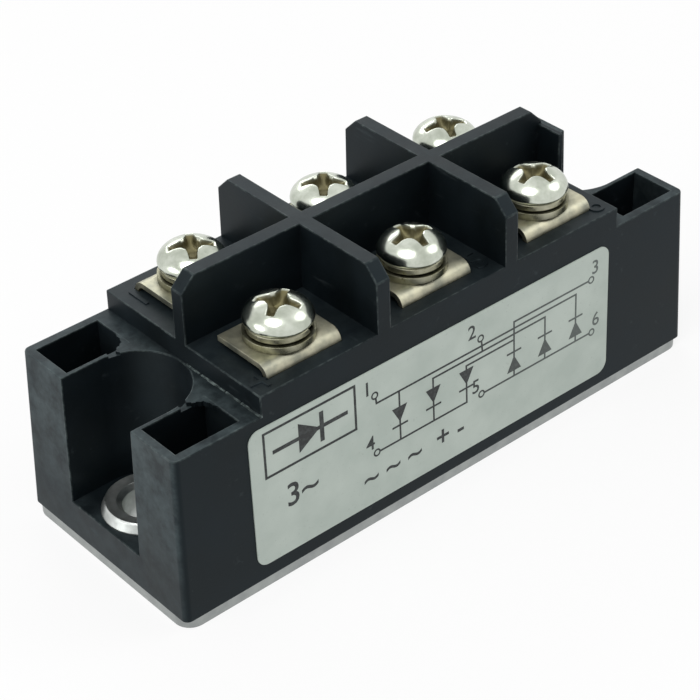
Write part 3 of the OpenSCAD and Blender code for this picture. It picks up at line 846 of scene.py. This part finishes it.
def screw_mesh():
    """One pan-head screw with a cross recess, upright, its head's underside at height 0."""
    rings = []
    for r in head_radii():
        corners = [(r * math.cos(t), r * math.sin(t)) for t in ring_turns(r)]
        rings.append([(x, y, *head_top(x, y)) for x, y in corners])
    spin = ring_turns(HEAD_R)
    side = [(HEAD_R - HEAD_EDGE * (1 - math.cos(a)), HEAD_EDGE * (1 - math.sin(a)))
            for a in (math.radians(d) for d in (22, 45, 68, 90))]
    side += [(SCREW_R, 0), (SCREW_R, POINT - SCREW_L), (SCREW_R - POINT, -SCREW_L)]
    for r, z in side:
        rings.append([(r * math.cos(t), r * math.sin(t), z, 0.0) for t in spin])
    bm = bmesh.new()
    recess = bm.verts.layers.float.new("recess")

    def point(x, y, z, depth):
        vertex = bm.verts.new((x * MM, y * MM, z * MM))
        vertex[recess] = min(max((depth - LIP) / PATINA_DEPTH, 0.0), 1.0)
        return vertex

    top = point(0, 0, *head_top(0, 0))
    loops = [[point(*corner) for corner in corners] for corners in rings]
    end = point(0, 0, -SCREW_L, 0.0)
    for i in range(len(spin)):
        j = (i + 1) % len(spin)
        bm.faces.new((top, loops[0][i], loops[0][j]))
        for inner, outer in zip(loops, loops[1:]):
            bm.faces.new((inner[i], outer[i], outer[j], inner[j]))
        bm.faces.new((loops[-1][i], end, loops[-1][j]))
    for face in bm.faces:
        face.smooth = True
    for edge in bm.edges:
        edge.smooth = edge.calc_face_angle(0) < SCREW_CREASE
    return as_mesh(bm, "screw")


def fastener_tree():
    """Geometry Nodes: one fastener at every point of the input, turned by the point's own turn."""
    tree = bpy.data.node_groups.new("fasteners_on_terminals", "GeometryNodeTree")
    sockets = {}
    for name, kind in (("Points", "NodeSocketGeometry"), ("Fastener", "NodeSocketObject"),
                       ("Size", "NodeSocketFloat"), ("Finish", "NodeSocketMaterial")):
        socket = tree.interface.new_socket(name=name, in_out="INPUT", socket_type=kind)
        sockets[name] = socket.identifier
    tree.interface.new_socket(name="Fasteners", in_out="OUTPUT", socket_type="NodeSocketGeometry")
    given = put(tree, "NodeGroupInput").outputs
    single = put(tree, "GeometryNodeObjectInfo", {"Object": given["Fastener"]})
    turn = put(tree, "GeometryNodeInputNamedAttribute", {"Name": "turn"}, data_type="FLOAT")
    placed = put(tree, "GeometryNodeInstanceOnPoints", {
        "Points": given["Points"],
        "Instance": single.outputs["Geometry"],
        "Rotation": put(tree, "ShaderNodeCombineXYZ", {"Z": turn.outputs["Attribute"]}),
        "Scale": given["Size"],
    })
    solid = put(tree, "GeometryNodeRealizeInstances", {"Geometry": placed})
    done = put(tree, "GeometryNodeSetMaterial", {"Geometry": solid, "Material": given["Finish"]})
    put(tree, "NodeGroupOutput", {"Fasteners": done})
    return tree, sockets


def add_screws():
    """A screw on each terminal, with its cross turned as it was tightened."""
    seat_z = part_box("terminal_screws")[1][2] - HEAD_H * MM
    single = on_scene("screw", screw_mesh())
    points = bpy.data.meshes.new("terminal_points")
    points.from_pydata([(x, y, seat_z) for x, y, _ in terminal_seats], [], [])
    turns = points.attributes.new("turn", "FLOAT", "POINT")
    for i, degrees in enumerate(TURNS):
        turns.data[i].value = math.radians(degrees)
    carrier = on_scene("terminal_points", points)
    tree, sockets = fastener_tree()
    repeat = carrier.modifiers.new("fasteners", "NODES")
    repeat.node_group = tree
    repeat[sockets["Fastener"]] = single
    repeat[sockets["Size"]] = 1.0
    repeat[sockets["Finish"]] = bright_nickel
    mesh = evaluated_mesh(carrier)
    mesh.name = "pan_head_screws"
    bpy.data.objects.remove(carrier)
    bpy.data.objects.remove(single)
    screws = on_scene("pan_head_screws", mesh)
    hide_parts("terminal_screws")
    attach(screws, "root")


add_screws()


# ---------- floor, light and camera ----------

FLOOR_SIZE = 6.0
FLOOR_Z = -0.00005      # just clear of the base plate
FLOOR_WHITE = 0.82      # share of plain white where it is seen; the matt rest takes the shadow
ROOM_LIGHT = 0.5        # strength of the white room as a light
WHITE = (1, 1, 1, 1)


def seen_directly(tree):
    """1 where the camera sees a surface, itself or in a reflection or through glass."""
    rays = put(tree, "ShaderNodeLightPath").outputs
    seen = put(tree, "ShaderNodeMath", {0: rays["Is Camera Ray"], 1: rays["Is Glossy Ray"]},
               operation="MAXIMUM")
    return put(tree, "ShaderNodeMath", {0: seen, 1: rays["Is Transmission Ray"]},
               operation="MAXIMUM")


def add_floor():
    """Plain white floor. It stays white behind the part and keeps a soft shadow."""
    bpy.ops.mesh.primitive_plane_add(size=FLOOR_SIZE, location=(0, 0, FLOOR_Z))
    floor = bpy.context.object
    floor.name = "floor"
    material, tree = new_material("white_floor")
    share = put(tree, "ShaderNodeMath", {0: seen_directly(tree), 1: FLOOR_WHITE},
                operation="MULTIPLY")
    put(tree, "ShaderNodeOutputMaterial", {
        "Surface": put(tree, "ShaderNodeMixShader", {
            0: share,
            1: put(tree, "ShaderNodeBsdfDiffuse", {"Color": colour("#f2f2f2")}),
            2: put(tree, "ShaderNodeEmission", {"Color": WHITE, "Strength": 1.0}),
        }),
    })
    floor.data.materials.append(material)


def add_world():
    """A white room that looks full white in reflections but lights the part more softly."""
    world = bpy.data.worlds.new("studio")
    world.use_nodes = True
    tree = world.node_tree
    tree.nodes.clear()
    strength = put(tree, "ShaderNodeMapRange", {"Value": seen_directly(tree), "To Min": ROOM_LIGHT})
    put(tree, "ShaderNodeOutputWorld", {
        "Surface": put(tree, "ShaderNodeBackground", {"Color": WHITE, "Strength": strength}),
    })
    bpy.context.scene.world = world


LAMP_AIM = Vector((0, 0, 0.02))
# Each lamp's place, width and height in metres, and its power in watts
LAMPS = {
    "key_softbox": ((-0.35, -0.15, 0.75), 0.55, 0.55, 3.0),
    "left_softbox": ((-0.8, 0.15, 0.25), 0.5, 0.4, 1.8),
    "back_softbox": ((0.3, 0.8, 0.5), 0.8, 0.4, 2.0),
    "right_softbox": ((0.55, -0.35, 0.6), 0.5, 0.5, 1.2),
}


def add_softbox(name, place, width, height, watts):
    """A round soft lamp that points at the part."""
    light = bpy.data.lights.new(name, "AREA")
    light.shape = "ELLIPSE"
    light.size, light.size_y = width, height
    light.energy = watts
    lamp = on_scene(name, light)
    lamp.location = place
    lamp.rotation_euler = (LAMP_AIM - Vector(place)).to_track_quat("-Z", "Y").to_euler()


# The camera looks at a point on the part's middle line, then slides left and down, in mm
CAMERA_AZIMUTH = math.radians(-39.96)
CAMERA_ELEVATION = math.radians(35.73)
CAMERA_ROLL = math.radians(-1.85)
CAMERA_AIM = Vector((0, 0, 17))
CAMERA_DISTANCE = 304.8
CAMERA_LEFT, CAMERA_DOWN = 2.74, 3.42
LENS, SENSOR = 111.58, 36.0


def add_camera():
    """A long lens that looks down on the labelled side and the open end, rolled a little."""
    level_out = math.cos(CAMERA_ELEVATION)
    back = Vector((math.sin(CAMERA_AZIMUTH) * level_out, -math.cos(CAMERA_AZIMUTH) * level_out,
                   math.sin(CAMERA_ELEVATION)))
    level = (-back).cross(Vector((0, 0, 1))).normalized()
    upright = level.cross(-back)
    right = math.cos(CAMERA_ROLL) * level + math.sin(CAMERA_ROLL) * upright
    up = -math.sin(CAMERA_ROLL) * level + math.cos(CAMERA_ROLL) * upright
    place = CAMERA_AIM + CAMERA_DISTANCE * back - CAMERA_LEFT * right - CAMERA_DOWN * up
    data = bpy.data.cameras.new("camera")
    data.lens = LENS
    data.sensor_width = SENSOR
    data.clip_start = 0.01
    data.clip_end = 20.0
    camera = on_scene("camera", data)
    turn = Matrix((right, up, back)).transposed().to_4x4()
    camera.matrix_world = Matrix.Translation(place * MM) @ turn
    bpy.context.scene.camera = camera


add_floor()
add_world()
for name, settings in LAMPS.items():
    add_softbox(name, *settings)
add_camera()
bpy.context.scene.view_settings.view_transform = "Standard"
